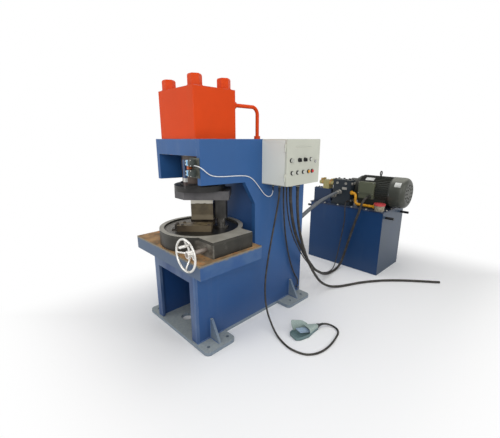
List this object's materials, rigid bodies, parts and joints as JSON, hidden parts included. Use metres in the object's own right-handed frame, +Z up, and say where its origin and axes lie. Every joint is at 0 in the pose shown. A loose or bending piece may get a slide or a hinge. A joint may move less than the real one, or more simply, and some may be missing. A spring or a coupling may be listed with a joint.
{
  "type": "hydraulic angle notching machine",
  "caption": "Hydraulic angle notching press: C-frame with overhead cylinder, worm-turned rotary die table, control box, foot pedal and separate hydraulic power unit.",
  "frame": {"origin": "on the floor under the ram's axis, on the underside of the press base", "axes": "+X to the operator's right, +Y from the operator to the back and on to the power unit, +Z up"},
  "size_m": [1.809, 3.117, 2.035],
  "materials": {
    "frame_paint": "semi-gloss blue paint",
    "table_steel": "machined steel with light rust",
    "cylinder_paint": "gloss orange-red paint",
    "bright_steel": "ground",
    "dark_steel": "oiled",
    "handwheel_plating": "satin plating",
    "box_paint": "powder coat",
    "black_plastic": "moulded",
    "grey_plastic": "moulded",
    "yellow_plastic": "moulded",
    "red_plastic": "moulded",
    "switch_plastic": "moulded",
    "pedal_casting": "painted casting",
    "treadle_plastic": "ribbed",
    "tank_paint": "semi-gloss navy paint",
    "motor_paint": "painted casting",
    "solenoid_plastic": "moulded",
    "pipe_paint": "painted pipe",
    "black_rubber": "sheath",
    "white_lead": "sheath"
  },
  "bodies": {
    "machine": {"base_plate": "frame_paint", "left_side_plate": "frame_paint", "right_side_plate": "frame_paint", "front_frame": "frame_paint", "column_front_plate": "frame_paint", "column_back_plate": "frame_paint", "head_top_plate": "frame_paint", "table_plate": "table_steel", "cylinder_block": "cylinder_paint", "tie_bolts": "cylinder_paint", "oil_pipe": "cylinder_paint", "turntable_housing": "dark_steel", "housing_cover": "bright_steel", "control_box": "box_paint", "limit_switches": "switch_plastic", "pedal_housing": "pedal_casting", "tank": "tank_paint", "tank_lid": "tank_paint", "motor_body": "motor_paint", "fan_cover": "motor_paint", "terminal_box": "motor_paint", "pump_unit": "motor_paint", "valve_manifold": "tank_paint", "solenoid_valves": "solenoid_plastic", "return_line": "pipe_paint", "pedal_lead": "black_rubber", "earth_lead": "black_rubber", "motor_lead": "black_rubber", "supply_lead": "black_rubber", "switch_lead": "white_lead", "valve_lead": "black_rubber", "pressure_hose": "black_rubber", "return_hose": "black_rubber"},
    "ram": {"piston_rod": "bright_steel", "ram_flange": "dark_steel"},
    "rotary_table": {"turntable": "bright_steel", "die_blocks": "dark_steel", "guide_posts": "bright_steel"},
    "upper_die": {"upper_die_shoe": "dark_steel", "guide_sleeves": "dark_steel", "punch": "dark_steel", "swivel_ring": "dark_steel"},
    "worm": {"worm_shaft": "bright_steel", "handwheel": "handwheel_plating"},
    "grip": {"crank_handle": "handwheel_plating"},
    "door": {"box_door": "box_paint", "control_bezels": "black_plastic"},
    "lock": {"door_lock": "bright_steel"},
    "treadle": {"pedal_treadle": "treadle_plastic"},
    "rotor": {"motor_rotor": "bright_steel"},
    "upper_switch": {"upper_plunger": "bright_steel"},
    "lower_switch": {"lower_plunger": "bright_steel"},
    "left_selector_body": {"left_selector": "black_plastic"},
    "middle_selector_body": {"middle_selector": "black_plastic"},
    "right_selector_body": {"right_selector": "black_plastic"},
    "left_button_body": {"left_button": "grey_plastic"},
    "middle_button_body": {"middle_button": "grey_plastic"},
    "right_button_body": {"right_button": "grey_plastic"},
    "yellow_button_body": {"yellow_button": "yellow_plastic"},
    "red_button_body": {"red_button": "red_plastic"}
  },
  "joints": [
    {"name": "ram_slide", "type": "slide", "parent": "machine", "child": "ram", "axis": [0, 0, -1], "range_m": [0, 0.06]},
    {"name": "turntable_turn", "type": "hinge", "parent": "machine", "child": "rotary_table", "pos_m": [0, 0, 0.82], "axis": [0, 0, 1], "range_deg": [-45, 45]},
    {"name": "upper_die_slide", "type": "slide", "parent": "rotary_table", "child": "upper_die", "axis": [0, 0, -1], "range_m": [0, 0.06]},
    {"name": "handwheel_turn", "type": "hinge", "parent": "machine", "child": "worm", "pos_m": [0.362, -0.3, 0.822], "axis": [0, 1, 0], "range_deg": [-4950, 4950]},
    {"name": "crank_spin", "type": "hinge", "parent": "worm", "child": "grip", "pos_m": [0.42409, -0.45, 0.91761], "axis": [0, 1, 0], "continuous": true},
    {"name": "door_hinge", "type": "hinge", "parent": "machine", "child": "door", "pos_m": [0.556, 0.412, 1.416], "axis": [0, 0, -1], "range_deg": [0, 110]},
    {"name": "lock_turn", "type": "hinge", "parent": "door", "child": "lock", "pos_m": [0.56, 0.806, 1.416], "axis": [1, 0, 0], "range_deg": [0, 90]},
    {"name": "pedal_press", "type": "hinge", "parent": "machine", "child": "treadle", "pos_m": [0.79747, 0.48415, 0.026], "axis": [0.9659, -0.2588, 0], "range_deg": [0, 10], "stiffness_Nm_per_rad": 12, "springref_deg": -11.46},
    {"name": "motor_spin", "type": "hinge", "parent": "machine", "child": "rotor", "pos_m": [0.5, 2.29, 0.985], "axis": [1, 0, 0], "continuous": true},
    {"name": "left_selector_turn", "type": "hinge", "parent": "door", "child": "left_selector_body", "pos_m": [0.57, 0.477, 1.436], "axis": [1, 0, 0], "range_deg": [-45, 45]},
    {"name": "middle_selector_turn", "type": "hinge", "parent": "door", "child": "middle_selector_body", "pos_m": [0.57, 0.58, 1.436], "axis": [1, 0, 0], "range_deg": [-45, 45]},
    {"name": "right_selector_turn", "type": "hinge", "parent": "door", "child": "right_selector_body", "pos_m": [0.57, 0.656, 1.436], "axis": [1, 0, 0], "range_deg": [-45, 45]},
    {"name": "left_button_press", "type": "slide", "parent": "door", "child": "left_button_body", "axis": [-1, 0, 0], "range_m": [0, 0.005], "stiffness_N_per_m": 600, "springref_m": -0.002},
    {"name": "middle_button_press", "type": "slide", "parent": "door", "child": "middle_button_body", "axis": [-1, 0, 0], "range_m": [0, 0.005], "stiffness_N_per_m": 600, "springref_m": -0.002},
    {"name": "right_button_press", "type": "slide", "parent": "door", "child": "right_button_body", "axis": [-1, 0, 0], "range_m": [0, 0.005], "stiffness_N_per_m": 600, "springref_m": -0.002},
    {"name": "yellow_button_press", "type": "slide", "parent": "door", "child": "yellow_button_body", "axis": [-1, 0, 0], "range_m": [0, 0.005], "stiffness_N_per_m": 600, "springref_m": -0.002},
    {"name": "red_button_press", "type": "slide", "parent": "door", "child": "red_button_body", "axis": [-1, 0, 0], "range_m": [0, 0.005], "stiffness_N_per_m": 600, "springref_m": -0.002},
    {"name": "upper_plunger_press", "type": "slide", "parent": "machine", "child": "upper_switch", "axis": [1, 0, 0], "range_m": [0, 0.004], "stiffness_N_per_m": 500, "springref_m": -0.002},
    {"name": "lower_plunger_press", "type": "slide", "parent": "machine", "child": "lower_switch", "axis": [1, 0, 0], "range_m": [0, 0.004], "stiffness_N_per_m": 500, "springref_m": -0.002}
  ],
  "couplings": [
    {"joint": "upper_die_slide", "follows": "ram_slide", "ratio": 1},
    {"joint": "handwheel_turn", "follows": "turntable_turn", "ratio": -110}
  ]
}
